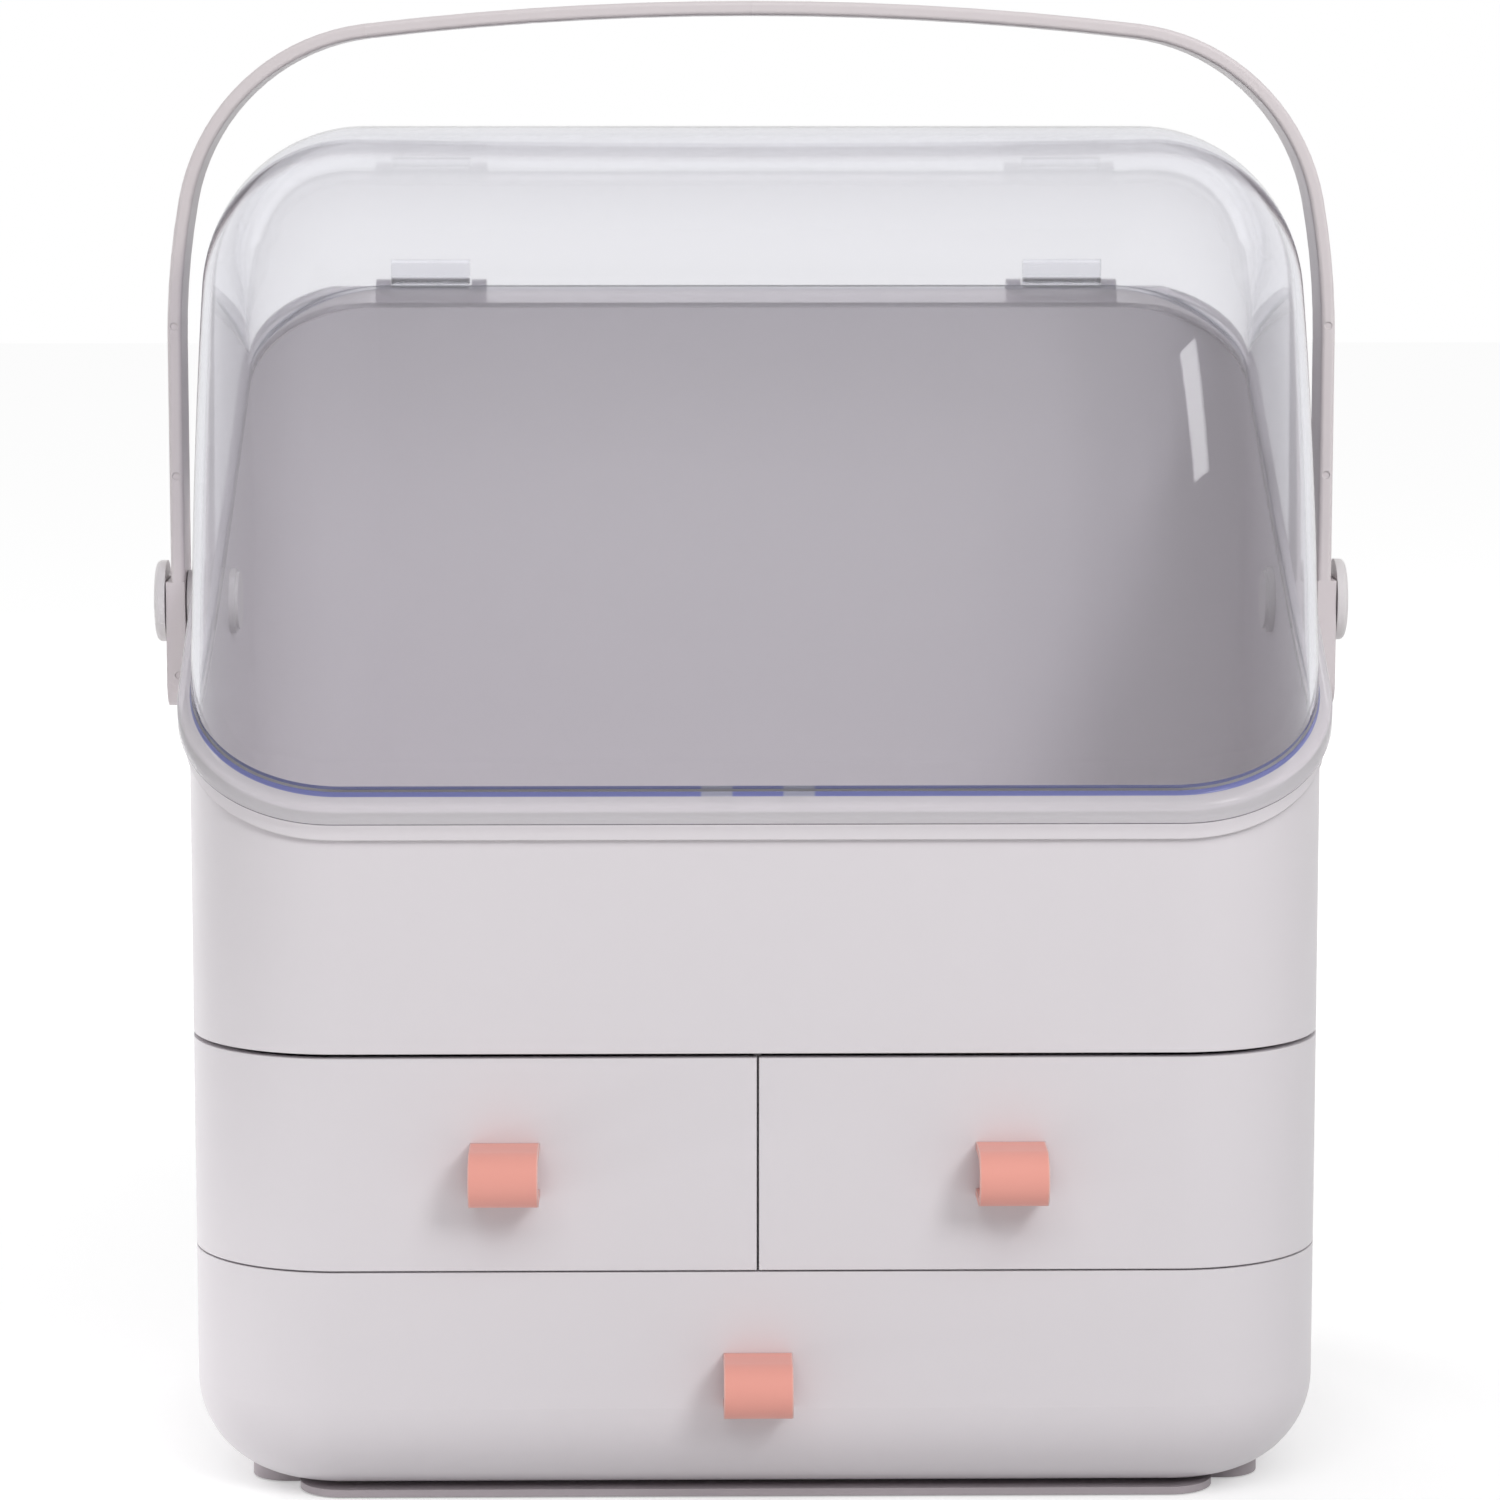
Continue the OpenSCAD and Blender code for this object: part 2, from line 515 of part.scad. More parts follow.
module right_pull() color(pink_c) place() pull(pull_x, pull_zu);
module bottom_tray() color(front_c) place() difference() {
  intersection() { rounded(tray_in, shelf_z - shelf_t - 1.4); box(-far, far, -10, tray_back, low_tray_z, far); }
  intersection() { rounded(tray_in + tray_t, seam_low + 20); box(-far, far, -10, tray_back - tray_t, low_tray_z + tray_t, far); }
}
module bottom_front() color(front_c) place() difference() {
  intersection() { difference() { rounded(0, low_top); rounded(front_t, low_top + 1); } box(-far, far, -20, wrap_d, 0, far); }
  pockets(0, pull_zl);
}
module bottom_pull() color(pink_c) place() pull(0, pull_zl);

foot_pads();
foot_ring();
cabinet_shell();
cabinet_shelf();
cabinet_partition();
glide_strips();
upper_tub();
tub_ledge();
tub_screws();
hinge_ears();
hinge_pins();
pivot_pins();
pivot_washers();
pivot_caps();
cover_rim();
cover_dome();
cover_snaps();
handle_bow();
left_tray();
left_front();
left_pull();
right_tray();
right_front();
right_pull();
bottom_tray();
bottom_front();
bottom_pull();
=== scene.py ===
import bpy
import math
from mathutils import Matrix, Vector


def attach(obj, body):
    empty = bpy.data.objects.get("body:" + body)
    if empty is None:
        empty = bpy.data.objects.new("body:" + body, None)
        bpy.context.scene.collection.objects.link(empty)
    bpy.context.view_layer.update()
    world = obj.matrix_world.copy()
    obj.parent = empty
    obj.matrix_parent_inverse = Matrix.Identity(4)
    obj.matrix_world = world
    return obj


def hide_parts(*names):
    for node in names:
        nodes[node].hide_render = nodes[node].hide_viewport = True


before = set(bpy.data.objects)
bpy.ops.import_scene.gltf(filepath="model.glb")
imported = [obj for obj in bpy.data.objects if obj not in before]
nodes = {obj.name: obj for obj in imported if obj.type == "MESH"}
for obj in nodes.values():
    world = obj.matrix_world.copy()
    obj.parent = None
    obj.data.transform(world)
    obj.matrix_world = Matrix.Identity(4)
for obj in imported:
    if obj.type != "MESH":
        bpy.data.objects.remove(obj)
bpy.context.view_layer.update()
MM = 0.001

# ---- sizes shared with the moulded parts, in millimetres ----
HALF_W = 148.0           # half the body's width
DEPTH = 215.0            # the body's depth
CORNER = 40.0            # plan radius of the body's upright corners
WALL = 2.5               # thickness of the body's walls
FRONT_Y = 103.25         # the front face lies this far in front of the middle
RIM_Z = 182.3            # height of the tub's rim at the front
SLOPE = 0.567            # rise of the rim for each millimetre towards the back
BACK_TOP = RIM_Z + SLOPE * DEPTH    # height of the rim at the back

COVER_RIM = 5.5          # height of the cover's rim band
COVER_GAP = 0.2          # gap left under the closed cover
RIM_OUT = 3.1            # how far the band stands out from the body's wall
BAND_BACK = 0.3          # how far the band stops short of the body's back
HOOD_WALL = 2.2
HOOD_TOP = 356.5
HOOD_R = 42.0            # radius of the hood's top edges, seen from the front
HOOD_DRAFT = 1.2         # how far each side leans in towards the top
CREST = 107.0            # distance of the hood's crest behind the front

HINGE_X = 92.7           # distance of each hinge from the middle
HINGE_R = 4.5            # radius of the hinge barrels
HINGE_BACK = 5.0         # distance of the hinge axis behind the back wall
LUG_W = 23.0
LUG_H = 13.5             # height of a lug above the rim at the back
AXIS_Y = DEPTH + HINGE_BACK
AXIS_Z = RIM_Z + SLOPE * AXIS_Y


# ---- mesh helpers ----
def make_object(name, verts, faces, smooth=True):
    mesh = bpy.data.meshes.new(name)
    mesh.from_pydata(verts, [], faces)
    mesh.validate()
    mesh.update()
    if smooth:
        mesh.polygons.foreach_set("use_smooth", [True] * len(mesh.polygons))
    obj = bpy.data.objects.new(name, mesh)
    bpy.context.scene.collection.objects.link(obj)
    return obj


def in_metres(x, y, z):
    """Where a point lies in the frame, from millimetres with y counted from the front face."""
    return x * MM, (y - FRONT_Y) * MM, z * MM


def mix(a, b, u):
    return a + (b - a) * u


def clamp(v):
    return min(1.0, max(0.0, v))


def round_off(v):
    """Height of a quarter circle of radius 1: it falls from 1 at v = 0 to 0 at v = 1."""
    return math.sqrt(max(0.0, 1.0 - v * v))


# ---- clear cover: hood and rim band in one moulding ----
FRONT_N, CORNER_N, SIDE_N, RING_N = 24, 40, 20, 72  # steps along an outline, and rings of a skin
HOOD_N = 2 * (FRONT_N + 2 * CORNER_N + SIDE_N)
FRONT_GROWTH, FRONT_RISE = 6.0, 110.0  # the front corners grow by this over this rise
BACK_GROWTH, BACK_RISE = 30.0, 40.0    # and the back ones by this, over this rise,
BACK_START = 20.0                      # from this far under the rim at the back
LEAST_SIDE = 0.4                       # shortest straight side that a section keeps
CROWN_GAP = 0.01                       # how far the last ring stays under the crown
FIRST_STEPS = [0.12, 0.35]             # two close rings at the foot, for its tinted edge
FOOT_GUESS = 40                        # the search for the foot starts this far over the rim
FOOT_ROUNDS = 24


def hood_section(z, t):
    """The level section at height z of the skin set in by t, in the form that around() takes."""
    cx = HALF_W - HOOD_R - HOOD_DRAFT * (z - RIM_Z) / (HOOD_TOP - RIM_Z)
    top = round_off(clamp((z - HOOD_TOP + HOOD_R) / (HOOD_R - t)))
    back = round_off(clamp((z - BACK_TOP) / (HOOD_TOP - t - BACK_TOP)))
    front_y = CREST - (CREST - t) * round_off(clamp((z - RIM_Z) / (HOOD_TOP - t - RIM_Z)))
    back_y = CREST + (DEPTH - t - CREST) * back
    rf = (CORNER - t + FRONT_GROWTH * clamp((z - RIM_Z) / FRONT_RISE)) * top
    rb = (CORNER - t + BACK_GROWTH * clamp((z - BACK_TOP + BACK_START) / BACK_RISE)) * back
    cf = front_y + rf
    return cx, (HOOD_R - t) * top, front_y, back_y, cf, max(cf + LEAST_SIDE, back_y - rb), rf


def quarter(j):
    """Sine and cosine at step j of a corner."""
    g = math.pi / 2 * j / CORNER_N
    return math.sin(g), math.cos(g)


def around(j, section):
    """Point j of an outline that runs round from the front left.

    A section is the corners' centre and reach sideways, the front, the back, the centres
    of the front and back corners, and the depth of the front corners."""
    cx, rx, front_y, back_y, cf, cb, rf = section
    f, c, s = FRONT_N, CORNER_N, SIDE_N
    if j < f:
        return mix(-cx, cx, j / f), front_y
    j -= f
    if j < c:
        sine, cosine = quarter(j)
        return cx + rx * sine, cf - rf * cosine
    j -= c
    if j < s:
        return cx + rx, mix(cf, cb, j / s)
    j -= s
    if j < c:
        sine, cosine = quarter(j)
        return cx + rx * cosine, cb + (back_y - cb) * sine
    j -= c
    if j < f:
        return mix(cx, -cx, j / f), back_y
    j -= f
    if j < c:
        sine, cosine = quarter(j)
        return -cx - rx * sine, cb + (back_y - cb) * cosine
    j -= c
    if j < s:
        return -cx - rx, mix(cb, cf, j / s)
    sine, cosine = quarter(j - s)
    return -cx - rx * cosine, cf - rf * sine


def hood_rings(t):
    """Rings of one skin, from just above its foot on the sloping rim up to the crown."""
    foot = []
    for j in range(HOOD_N):
        z = RIM_Z + FOOT_GUESS
        for _ in range(FOOT_ROUNDS):
            z = RIM_Z + SLOPE * around(j, hood_section(z, t))[1] + COVER_RIM
        foot.append(z)
    rings = []
    for step in FIRST_STEPS + list(range(1, RING_N + 1)):
        ring = []
        for j in range(HOOD_N):
            z = mix(foot[j], HOOD_TOP - t - CROWN_GAP, math.sin(math.pi / 2 * step / RING_N))
            ring.append((*around(j, hood_section(z, t)), z))
        rings.append(ring)
    return rings


BAND_INNER_EDGE = 0.35       # the band's inner side keeps this far from its top and its bevelled foot
BAND_LOW_EDGE = 0.5          # rounding along the foot of its outer side,
BAND_LOW_BEND = 0.15         # whose middle lies this far inside the sharp corner
BAND_HIP = 2.0               # height of a ring part of the way up its outer side
BAND_TOP_EDGE = 0.9          # rounding along its top,
BAND_TOP_BEND = 0.26, 0.27   # whose middle lies this far inside and under the sharp corner
# two rings between the band and the hood: how far out from the body's wall, how far over the
# band, and the share of the way to the hood's foot
FILLET = [(0.9, 0.0, 0.3), (0.45, 0.12, 0.7)]


def band_ring(out, rise, hood_foot=None, share=0.0):
    """The body's outline moved out, at a height above the rim.

    With hood_foot it goes that share of the way to the hood's foot."""
    section = (HALF_W - CORNER, CORNER + out, -out, DEPTH + out, CORNER, DEPTH - CORNER, CORNER + out)
    ring = []
    for j in range(HOOD_N):
        x, y = around(j, section)
        if hood_foot:
            x, y = mix(x, hood_foot[j][0], share), mix(y, hood_foot[j][1], share)
        y = min(y, DEPTH - BAND_BACK)
        ring.append((x, y, RIM_Z + SLOPE * y + rise))
    return ring


def band_rings(hood_foot):
    """Rings of the band, from the foot of the inner skin round to that of the outer one."""
    section = [
        (-WALL, COVER_RIM - BAND_INNER_EDGE),
        (-WALL, COVER_GAP + BAND_INNER_EDGE),
        (-WALL + BAND_INNER_EDGE, COVER_GAP),
        (RIM_OUT - BAND_LOW_EDGE, COVER_GAP),
        (RIM_OUT - BAND_LOW_BEND, COVER_GAP + BAND_LOW_BEND),
        (RIM_OUT, COVER_GAP + BAND_LOW_EDGE),
        (RIM_OUT, BAND_HIP),
        (RIM_OUT, COVER_RIM - BAND_TOP_EDGE),
        (RIM_OUT - BAND_TOP_BEND[0], COVER_RIM - BAND_TOP_BEND[1]),
        (RIM_OUT - BAND_TOP_EDGE, COVER_RIM),
    ]
    rings = [band_ring(out, rise) for out, rise in section]
    rings += [band_ring(out, COVER_RIM + over, hood_foot, share) for out, over, share in FILLET]
    return rings


def beside(j):
    """Which point of a crown's spine lies beside point j of its last ring."""
    past_side = j - FRONT_N - 2 * CORNER_N - SIDE_N
    if j <= FRONT_N:
        return j
    if past_side <= 0:
        return FRONT_N
    return max(0, FRONT_N - past_side)


def close_crown(verts, faces, first, skin):
    """Closes a skin's last ring, whose points start at first, along a spine over its middle."""
    cx, _, front_y, back_y, _, _, _ = hood_section(HOOD_TOP - skin - CROWN_GAP, skin)
    spine = len(verts)
    for i in range(FRONT_N + 1):
        verts.append(in_metres(mix(-cx, cx, i / FRONT_N), (front_y + back_y) / 2, HOOD_TOP - skin))
    for j in range(HOOD_N):
        a, b = first + j, first + (j + 1) % HOOD_N
        u, v = spine + beside(j), spine + beside(j + 1)
        face = (a, b, v) if u == v else (a, b, v, u)
        faces.append(face if skin == 0 else face[::-1])


# the fourth surface, a strip along the band's outer foot, wears painted shade
HOOD, BAND, TINTED_FOOT, SHADE_STRIP = range(4)  # surfaces of the cover


def clear_cover():
    """Closed moulding: down the inner skin, round the rim band, up the outer skin."""
    outer, inner = hood_rings(0.0), hood_rings(HOOD_WALL)
    rings = inner[::-1] + band_rings(outer[0]) + outer
    surface = [HOOD] * (len(inner) - 2) + [TINTED_FOOT] + [BAND] * 4 + [SHADE_STRIP] * 2
    surface += [BAND] * 6 + [TINTED_FOOT] * 2 + [HOOD] * (len(outer) - 2)
    n = HOOD_N
    verts = [in_metres(*point) for ring in rings for point in ring]
    faces = []
    for k in range(len(rings) - 1):
        for j in range(n):
            a, b = k * n + j, k * n + (j + 1) % n
            faces.append((a, b, b + n, a + n))
    close_crown(verts, faces, (len(rings) - 1) * n, 0.0)
    close_crown(verts, faces, 0, HOOD_WALL)
    obj = make_object("clear_cover", verts, faces)
    for i, poly in enumerate(obj.data.polygons):
        poly.material_index = surface[min(i // n, len(surface) - 1)]
    return obj


# ---- hinge lugs, in millimetres and degrees ----
LUG_SINK = 0.1           # how far a lug reaches in front of the back wall's face
LUG_THICK = 3.0
LUG_EDGE = 1.2           # rounding of its top edges
LUG_NECK = 1.2           # its back stays straight down to this far over the knuckle,
LUG_FILLET = 1.0         # and then runs into it with this radius
LUG_BELOW = 2.0          # how far it reaches under the hinge axis
LUG_TOE = 1.5            # width of its lower end
KNUCKLE = 85, -150       # where the knuckle's round starts and ends
EDGE_STEPS, FILLET_STEPS, KNUCKLE_STEPS = 5, 4, 26
SOFT_EDGE = 0.3          # rounding of the drawn-out edges
SOFT_STEPS = 2
SHARP = 40               # an edge that turns by more than this is rounded


def prism(name, outline, x0, x1):
    """An outline of (y, z) points, drawn out from x0 to x1, with its edges rounded."""
    n = len(outline)
    verts = [in_metres(x, y, z) for x in (x0, x1) for y, z in outline]
    faces = [tuple(range(n)), tuple(range(2 * n - 1, n - 1, -1))]
    faces += [(i, n + i, n + (i + 1) % n, (i + 1) % n) for i in range(n)]
    obj = make_object(name, verts, faces)
    soften = obj.modifiers.new("soft_edges", "BEVEL")
    soften.width = SOFT_EDGE * MM
    soften.segments = SOFT_STEPS
    soften.limit_method = "ANGLE"
    soften.angle_limit = math.radians(SHARP)
    obj.modifiers.new("even_shading", "WEIGHTED_NORMAL")
    return obj


def arc(cy, cz, r, a, b, n):
    """Points of an arc about (cy, cz), from angle a to angle b in n steps."""
    turns = [math.radians(mix(a, b, i / n)) for i in range(n + 1)]
    return [(cy + r * math.cos(g), cz + r * math.sin(g)) for g in turns]


def hinge_lug(name, middle):
    """Clear tab that stands up behind the rim, with the knuckle that turns on the hinge pin."""
    front, back = DEPTH - LUG_SINK, DEPTH + LUG_THICK
    top = BACK_TOP + LUG_H
    neck = AXIS_Z + HINGE_R
    outline = [(front, AXIS_Z - LUG_BELOW)]
    outline += arc(front + LUG_EDGE, top - LUG_EDGE, LUG_EDGE, 180, 90, EDGE_STEPS)
    outline += arc(back - LUG_EDGE, top - LUG_EDGE, LUG_EDGE, 90, 0, EDGE_STEPS)
    outline += [(back, neck + LUG_NECK)]
    outline += arc(back + LUG_FILLET, neck + LUG_FILLET, LUG_FILLET, 180, 270, FILLET_STEPS)
    outline += arc(AXIS_Y, AXIS_Z, HINGE_R, *KNUCKLE, KNUCKLE_STEPS)
    outline += [(front + LUG_TOE, AXIS_Z - LUG_BELOW)]
    return prism(name, outline, middle - LUG_W / 2, middle + LUG_W / 2)


cover = clear_cover()
lugs = [hinge_lug("lug_left", -HINGE_X), hinge_lug("lug_right", HINGE_X)]
for piece in (cover, *lugs):
    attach(piece, "cover")
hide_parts("cover_dome", "cover_rim")


# ---- shader helpers ----
def node(tree, kind, **values):
    n = tree.nodes.new(kind)
    for key, value in values.items():
        setattr(n, key, value)
    return n


def feed(tree, socket, value):
    """Links an output to a socket, or gives the socket a plain value."""
    if isinstance(value, bpy.types.NodeSocket):
        tree.links.new(value, socket)
    else:
        socket.default_value = value


def fill(tree, n, values):
    """Feeds the inputs of a node by their names, and hands the node back."""
    for label, value in values.items():
        feed(tree, n.inputs[label], value)
    return n


def math_node(tree, operation, a, b=None):
    n = node(tree, "ShaderNodeMath", operation=operation)
    feed(tree, n.inputs[0], a)
    if b is not None:
        feed(tree, n.inputs[1], b)
    return n.outputs[0]


def blend_tones(tree, share, first, second):
    """Mix of two colours: share 0 gives the first, 1 the second."""
    n = node(tree, "ShaderNodeMix", data_type="RGBA")
    sockets = {s.identifier: s for s in n.inputs}
    for label, value in (("Factor_Float", share), ("A_Color", first), ("B_Color", second)):
        feed(tree, sockets[label], value)
    return next(s for s in n.outputs if s.identifier == "Result_Color")


def object_place(tree):
    return node(tree, "ShaderNodeTexCoord").outputs["Object"]


def noise(tree, place, scale, detail):
    """A noise with that many features to the metre."""
    n = node(tree, "ShaderNodeTexNoise")
    return fill(tree, n, {"Vector": place, "Scale": scale, "Detail": detail}).outputs["Fac"]


def swing_about(tree, centre, spread, value):
    """Turns a noise from 0 to 1 into one that swings about centre by up to spread."""
    swing = math_node(tree, "MULTIPLY", math_node(tree, "SUBTRACT", value, 0.5), spread)
    return math_node(tree, "ADD", math_node(tree, "MULTIPLY", swing, 2.0), centre)


def smooth_step(tree, value, start, end, low=0.0, high=1.0):
    """Goes smoothly from low to high while value goes from start to end."""
    n = node(tree, "ShaderNodeMapRange", interpolation_type="SMOOTHSTEP")
    ends = {"From Min": start, "From Max": end, "To Min": low, "To Max": high}
    return fill(tree, n, {"Value": value, **ends}).outputs["Result"]


def shader_group(name, inputs, outputs):
    tree = bpy.data.node_groups.new(name, "ShaderNodeTree")
    for label, value in inputs.items():
        kind = "NodeSocketColor" if isinstance(value, tuple) else "NodeSocketFloat"
        sock = tree.interface.new_socket(label, in_out="INPUT", socket_type=kind)
        sock.default_value = value
    for label, kind in outputs.items():
        tree.interface.new_socket(label, in_out="OUTPUT", socket_type="NodeSocket" + kind)
    return tree, tree.nodes.new("NodeGroupInput"), tree.nodes.new("NodeGroupOutput")


# ---- shared surface effects ----
DRIFT_SCALE, GLOSS_SCALE, GRAIN_SCALE, WAVE_SCALE = 9.0, 60.0, 1500.0, 14.0  # features to the metre
BEVEL_SAMPLES = 4
# the painted highlight along edges: its tone, and how fast it comes in
EDGE_HIGHLIGHT_TONE = (1.0, 0.97, 0.96, 1)
EDGE_GAIN = 4.0                # how fast the paler tone comes in as an edge turns away
FRONT_FADE = -0.040, -0.085    # Y in metres where the mask of the cover's front starts and is full
SNAP_MARK = 6.5, 14.5          # millimetres from the middle to a snap's pale mark and to its end
SNAP_BLUR = 0.4                # half the width over which that mark fades, in millimetres
SNAP_PALING = 0.8              # share of the tint that the mark takes away


def build_moulded_skin():
    """Moulded plastic: slow drift of tone from the melt, fine grain, and a little uneven gloss."""
    tree, gin, gout = shader_group(
        "moulded_skin",
        {"Tone": (0.8, 0.8, 0.8, 1.0), "Drift": 0.02, "Gloss Centre": 0.35, "Gloss Spread": 0.05,
         "Grain Size": 1.0, "Edge Radius": 0.0004, "Edge Light": 0.3},
        {"Tone": "Color", "Roughness": "Float", "Grain": "Float", "Edge Normal": "Vector"})
    asked = gin.outputs
    place = object_place(tree)
    slow = noise(tree, place, DRIFT_SCALE, 3.0)
    mid = noise(tree, place, GLOSS_SCALE, 4.0)
    fine = noise(tree, place, math_node(tree, "DIVIDE", GRAIN_SCALE, asked["Grain Size"]), 2.0)
    drift = swing_about(tree, 1.0, asked["Drift"], slow)
    bright = fill(tree, node(tree, "ShaderNodeHueSaturation"), {"Value": drift, "Color": asked["Tone"]})
    # edges are painted paler than the flats: a painted highlight along them
    soft_edge = node(tree, "ShaderNodeBevel", samples=BEVEL_SAMPLES)
    feed(tree, soft_edge.inputs["Radius"], asked["Edge Radius"])
    turn = node(tree, "ShaderNodeVectorMath", operation="DOT_PRODUCT")
    feed(tree, turn.inputs[0], soft_edge.outputs[0])
    feed(tree, turn.inputs[1], node(tree, "ShaderNodeNewGeometry").outputs["Normal"])
    edge = math_node(tree, "MULTIPLY", math_node(tree, "SUBTRACT", 1.0, turn.outputs["Value"]), EDGE_GAIN)
    edge = math_node(tree, "MULTIPLY", math_node(tree, "MINIMUM", edge, 1.0), asked["Edge Light"])
    fill(tree, gout, {
        "Tone": blend_tones(tree, edge, bright.outputs["Color"], EDGE_HIGHLIGHT_TONE),
        "Roughness": swing_about(tree, asked["Gloss Centre"], asked["Gloss Spread"], mid),
        "Grain": fine,
        "Edge Normal": soft_edge.outputs[0],
    })
    return tree


def build_poured_wave():
    """Slow waves that a clear moulding keeps from its pour, and a mask for the cover's front.

    The mask is 1 along the front and 0 behind, and low where the two snaps press against it."""
    tree, gin, gout = shader_group("poured_wave", {"Wave Size": 1.0}, {"Wave": "Float", "Front": "Float"})
    place = object_place(tree)
    wave = noise(tree, place, math_node(tree, "DIVIDE", WAVE_SCALE, gin.outputs["Wave Size"]), 1.0)
    part = node(tree, "ShaderNodeSeparateXYZ")
    feed(tree, part.inputs[0], place)
    front = smooth_step(tree, part.outputs["Y"], *FRONT_FADE)
    aside = math_node(tree, "ABSOLUTE", part.outputs["X"])
    past = [smooth_step(tree, aside, (end - SNAP_BLUR) * MM, (end + SNAP_BLUR) * MM) for end in SNAP_MARK]
    on_snap = math_node(tree, "MULTIPLY", math_node(tree, "SUBTRACT", *past), SNAP_PALING)
    clear_of_snaps = math_node(tree, "MULTIPLY", front, math_node(tree, "SUBTRACT", 1.0, on_snap))
    fill(tree, gout, {"Wave": wave, "Front": clear_of_snaps})
    return tree


moulded_skin = build_moulded_skin()
poured_wave = build_poured_wave()


# ---- materials ----
GRAIN_RELIEF = 0.0001    # heights of the grain and of the waves, in metres
WAVE_RELIEF = 0.0006
WAVE_STRENGTH = 0.12
GLOSS_SPREAD = 0.05      # how far the roughness of moulded plastic swings
CLEAR_IOR = 1.5
CLEAR_SHADE = 0.97       # what the shadow of clear plastic lets through
STEEL_SCALE = 900.0      # features to the metre
STEEL_GLOSS = 0.22       # least roughness of the steel,
STEEL_MARKS = 0.2        # and how much its turning marks add


def principled(name):
    mat = bpy.data.materials.new(name)
    mat.use_nodes = True
    tree = mat.node_tree
    return mat, tree, tree.nodes["Principled BSDF"]


def srgb(r, g, b):
    """Linear colour from one written in steps of 255."""
    lin = [v / 12.92 if v <= 0.04045 else ((v + 0.055) / 1.055) ** 2.4 for v in (r / 255, g / 255, b / 255)]
    return (*lin, 1.0)


def moulded_plastic(name, tone, gloss, drift=0.015, grain=1.0, grain_depth=0.08, edge=0.0004,
                    edge_light=0.25, sheen=0.0):
    """Opaque moulded plastic. edge is the radius in metres over which its edges shade and take a painted
    highlight, and edge_light sets how strong that highlight is.
    """
    mat, tree, bsdf = principled(name)
    skin = fill(tree, node(tree, "ShaderNodeGroup", node_tree=moulded_skin), {
        "Tone": tone, "Drift": drift, "Gloss Centre": gloss, "Gloss Spread": GLOSS_SPREAD,
        "Grain Size": grain, "Edge Radius": edge, "Edge Light": edge_light,
    })
    bump = fill(tree, node(tree, "ShaderNodeBump"), {
        "Strength": grain_depth, "Distance": GRAIN_RELIEF,
        "Height": skin.outputs["Grain"], "Normal": skin.outputs["Edge Normal"],
    })
    fill(tree, bsdf, {
        "Base Color": skin.outputs["Tone"], "Roughness": skin.outputs["Roughness"],
        "Normal": bump.outputs[0], "Sheen Weight": sheen,
    })
    return mat


def clear_plastic(name, tint, density, rough=0.01, milk=0.0, colour=(1, 1, 1, 1), front_colour=None):
    """Clear styrene, which soaks up all but its tint as its density says.

    milk is the share that scatters, as a thick moulded edge does. With front_colour, the
    front of the cover takes that colour."""
    mat, tree, bsdf = principled(name)
    wave = node(tree, "ShaderNodeGroup", node_tree=poured_wave)
    bump = fill(tree, node(tree, "ShaderNodeBump"), {
        "Strength": WAVE_STRENGTH, "Distance": WAVE_RELIEF, "Height": wave.outputs["Wave"],
    })
    fill(tree, bsdf, {
        "Base Color": colour, "Roughness": rough, "IOR": CLEAR_IOR,
        "Transmission Weight": 1.0 - milk, "Normal": bump.outputs[0],
    })
    if front_colour:
        feed(tree, bsdf.inputs["Base Color"], blend_tones(tree, wave.outputs["Front"], colour, front_colour))
    passed = (CLEAR_SHADE, CLEAR_SHADE, CLEAR_SHADE, 1)
    through = fill(tree, node(tree, "ShaderNodeBsdfTransparent"), {"Color": passed})
    blend = node(tree, "ShaderNodeMixShader")
    feed(tree, blend.inputs[0], node(tree, "ShaderNodeLightPath").outputs["Is Shadow Ray"])
    feed(tree, blend.inputs[1], bsdf.outputs[0])
    feed(tree, blend.inputs[2], through.outputs[0])
    soak = fill(tree, node(tree, "ShaderNodeVolumeAbsorption"), {"Color": tint, "Density": density})
    fill(tree, tree.nodes["Material Output"], {"Surface": blend.outputs[0], "Volume": soak.outputs[0]})
    return mat


def turned_steel(name):
    mat, tree, bsdf = principled(name)
    marks = noise(tree, object_place(tree), STEEL_SCALE, 2.0)
    gloss = math_node(tree, "ADD", math_node(tree, "MULTIPLY", marks, STEEL_MARKS), STEEL_GLOSS)
    fill(tree, bsdf, {"Metallic": 1.0, "Base Color": srgb(188, 188, 190), "Roughness": gloss})
    return mat


body_white = moulded_plastic("body_white", srgb(222, 217, 221), 0.36)
# the foot ring is the body's plastic painted darker: painted shade under the body's overhang
foot_shaded_white = moulded_plastic("foot_shaded_white", srgb(174, 165, 170), 0.45)
handle_white = moulded_plastic("handle_white", srgb(226, 222, 223), 0.33)
bow_white = moulded_plastic("bow_white", srgb(220, 212, 214), 0.33)
tray_white = moulded_plastic("tray_white", srgb(224, 220, 221), 0.42)
# the pulls' edges take a strong painted highlight
pull_salmon = moulded_plastic("pull_salmon", srgb(236, 162, 149), 0.5, drift=0.02, grain=1.6, grain_depth=0.2,
                              edge=0.0008, edge_light=0.8, sheen=0.15)
pad_grey = moulded_plastic("pad_grey", srgb(96, 95, 98), 0.7, grain=2.0, grain_depth=0.4)
steel = turned_steel("steel")

STYRENE_TINT = (0.60, 0.60, 0.70, 1)
STYRENE_DENSITY = 92.0
hood_clear = clear_plastic("hood_clear", STYRENE_TINT, STYRENE_DENSITY, rough=0.03)
lug_clear = clear_plastic("lug_clear", STYRENE_TINT, 12.0, milk=0.08, colour=(0.97, 0.97, 0.99, 1))
band_clear = clear_plastic("band_clear", (0.66, 0.63, 0.67, 1), 60.0, rough=0.1, milk=0.42,
                           colour=(0.92, 0.89, 0.92, 1))
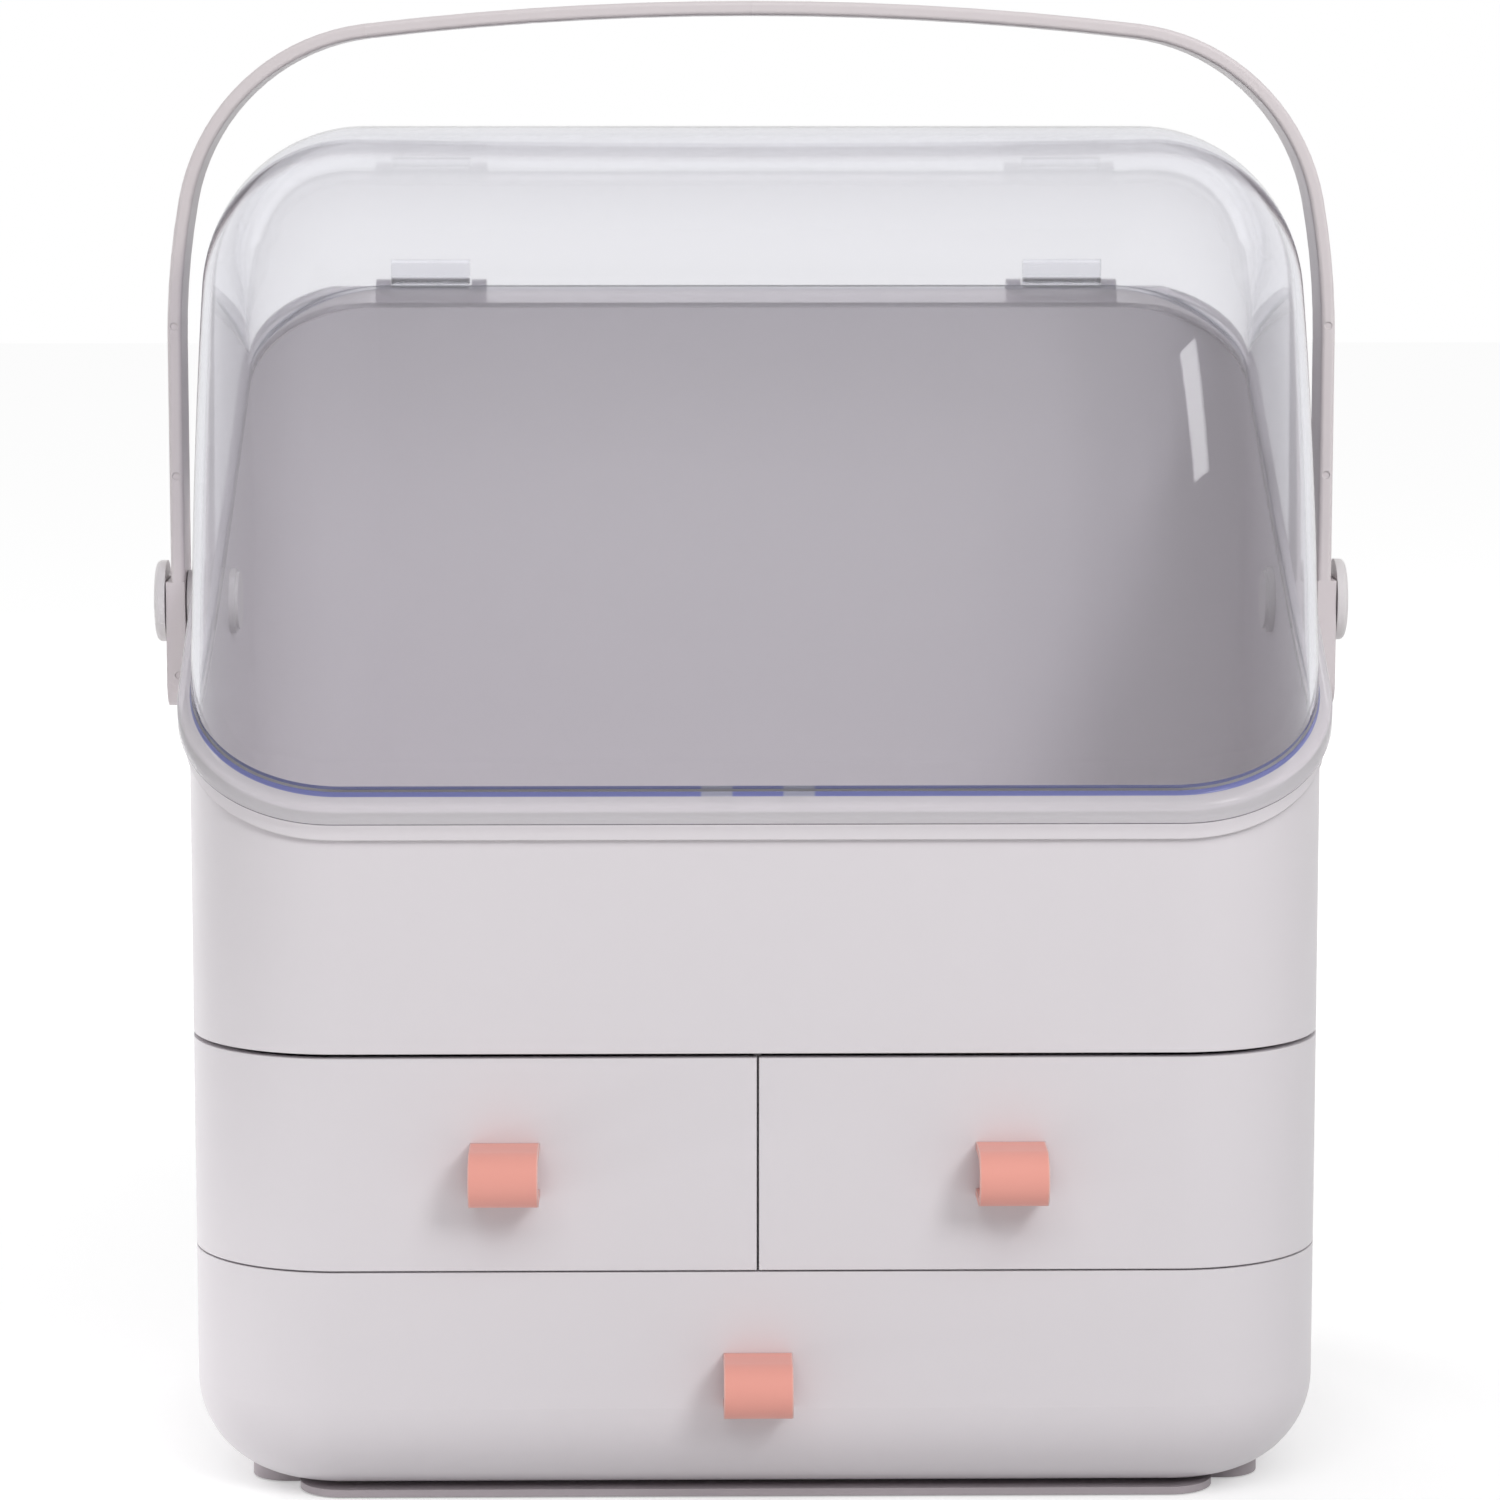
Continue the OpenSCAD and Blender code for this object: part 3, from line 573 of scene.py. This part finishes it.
# painted shade: a dark strip standing in for the shadowed gap under the cover and the dark look of a thick
# clear edge
band_foot_shade = clear_plastic("band_foot_shade", STYRENE_TINT, STYRENE_DENSITY, rough=0.1, milk=0.5,
                          colour=(0.30, 0.28, 0.32, 1))
foot_violet = clear_plastic("foot_violet", STYRENE_TINT, STYRENE_DENSITY, rough=0.05, milk=0.45,
                            colour=(0.72, 0.72, 0.84, 1), front_colour=(0.30, 0.33, 0.80, 1))


# ---- which piece wears which material ----
DRESS = [
    (pad_grey, ["foot_pads"]),
    (foot_shaded_white, ["foot_ring"]),
    (body_white, ["cabinet_shell", "cabinet_shelf", "cabinet_partition", "upper_tub", "tub_ledge",
                  "hinge_ears", "left_front", "right_front", "bottom_front"]),
    (tray_white, ["glide_strips", "left_tray", "right_tray", "bottom_tray"]),
    (steel, ["tub_screws"]),
    (handle_white, ["hinge_pins", "pivot_pins", "pivot_washers", "pivot_caps"]),
    (bow_white, ["handle_bow"]),
    (pull_salmon, ["left_pull", "right_pull", "bottom_pull"]),
    (hood_clear, ["cover_snaps"]),
]
COVER_DRESS = {HOOD: hood_clear, BAND: band_clear, TINTED_FOOT: foot_violet, SHADE_STRIP: band_foot_shade}


def dress(obj, mat):
    if obj.data.materials:
        obj.data.materials[0] = mat
    else:
        obj.data.materials.append(mat)


for mat, names in DRESS:
    for name in names:
        dress(nodes[name], mat)
for surface in sorted(COVER_DRESS):
    cover.data.materials.append(COVER_DRESS[surface])
for piece in lugs:
    dress(piece, lug_clear)


# ---- studio, in metres and watts ----
WORLD = 0.35                # light from all round
FLOOR_REACH = 6.0           # half the width of the floor
FLOOR_TONE = 0.76
FLOOR_LIFT = 0.40, 0.70     # what the floor adds for the camera by the object and far off,
LIFT_SPAN = 0.35, 2.2       # between these distances, so that it meets the white behind it
FIRST_DULL = 0.5            # a diffuse depth over this has met a dull surface
PURE_WHITE = (1, 1, 1, 1)
CAMERA_AT = (-0.020, -1.36325, 0.3656)
CAMERA_AIM = (-0.0006, -0.00325, 0.1866)
CAMERA_LENS = 120           # in millimetres, like the width of its sensor
CAMERA_SENSOR = 36


def camera_rays(tree):
    """1 for what the camera sees, directly or in a gloss or through clear plastic.

    It is 0 for the light that a dull surface gathers."""
    path = node(tree, "ShaderNodeLightPath")
    seen = math_node(tree, "MAXIMUM", path.outputs["Is Camera Ray"], path.outputs["Is Glossy Ray"])
    seen = math_node(tree, "MAXIMUM", seen, path.outputs["Is Transmission Ray"])
    early = math_node(tree, "LESS_THAN", path.outputs["Diffuse Depth"], FIRST_DULL)
    return math_node(tree, "MULTIPLY", seen, early)


def studio_floor():
    r = FLOOR_REACH
    corners = [(-r, -r, 0), (r, -r, 0), (r, r, 0), (-r, r, 0)]
    floor = make_object("studio_floor", corners, [(0, 1, 2, 3)], smooth=False)
    mat, tree, bsdf = principled("studio_white")
    tone = (FLOOR_TONE, FLOOR_TONE, FLOOR_TONE, 1)
    fill(tree, bsdf, {"Base Color": tone, "Roughness": 0.9, "Specular IOR Level": 0.0})
    reach = node(tree, "ShaderNodeVectorMath", operation="LENGTH")
    feed(tree, reach.inputs[0], object_place(tree))
    rise = smooth_step(tree, reach.outputs["Value"], *LIFT_SPAN, *FLOOR_LIFT)
    glow = math_node(tree, "MULTIPLY", camera_rays(tree), rise)
    lift = fill(tree, node(tree, "ShaderNodeEmission"), {"Color": PURE_WHITE, "Strength": glow})
    both = node(tree, "ShaderNodeAddShader")
    feed(tree, both.inputs[0], bsdf.outputs[0])
    feed(tree, both.inputs[1], lift.outputs[0])
    feed(tree, tree.nodes["Material Output"].inputs["Surface"], both.outputs[0])
    dress(floor, mat)


def studio_world():
    world = bpy.data.worlds.new("studio")
    bpy.context.scene.world = world
    world.use_nodes = True
    tree = world.node_tree
    white_behind = math_node(tree, "MULTIPLY", camera_rays(tree), 1 - WORLD)
    strength = math_node(tree, "ADD", white_behind, WORLD)
    fill(tree, tree.nodes["Background"], {"Color": PURE_WHITE, "Strength": strength})


def aimed(name, data, where, aim):
    """Places a lamp or a camera so that it looks towards a point."""
    obj = bpy.data.objects.new(name, data)
    obj.location = where
    obj.rotation_euler = (Vector(aim) - Vector(where)).to_track_quat("-Z", "Y").to_euler()
    bpy.context.scene.collection.objects.link(obj)
    return obj


def softbox(name, where, aim, size, watts, mirrored=False):
    """Soft lamp. Only a mirrored one shows in gloss and clear plastic."""
    light = bpy.data.lights.new(name, "AREA")
    light.shape = "RECTANGLE"
    light.size, light.size_y = size
    light.energy = watts
    obj = aimed(name, light, where, aim)
    obj.visible_camera = False
    obj.visible_glossy = mirrored
    obj.visible_transmission = mirrored


def studio_lamps():
    middle = (0, 0, 0.15)
    higher = (0, 0, 0.2)
    softbox("key_right", (0.75, -1.5, 1.05), middle, (0.45, 0.5), 8.8)
    softbox("over_front", (-0.1, -1.4, 1.45), middle, (1.3, 0.8), 9)
    softbox("panel_left", (-1.15, 0.9, 0.55), higher, (1.0, 1.2), 10)
    softbox("low_left", (-0.30, -0.135, 0.012), (-0.12, -0.085, 0.015), (0.12, 0.016), 0.09)
    softbox("back_fill", (0.0, 1.7, 1.0), higher, (1.0, 0.8), 8)
    softbox("window_right", (0.96, -1.33, 1.66), (0.12, 0, 0.25), (0.40, 0.82), 4.2, mirrored=True)


def camera():
    data = bpy.data.cameras.new("camera")
    data.lens = CAMERA_LENS
    data.sensor_width = CAMERA_SENSOR
    bpy.context.scene.camera = aimed("camera", data, CAMERA_AT, CAMERA_AIM)


studio_world()
studio_floor()
studio_lamps()
camera()
bpy.context.scene.view_settings.view_transform = "Standard"

bpy.context.view_layer.update()
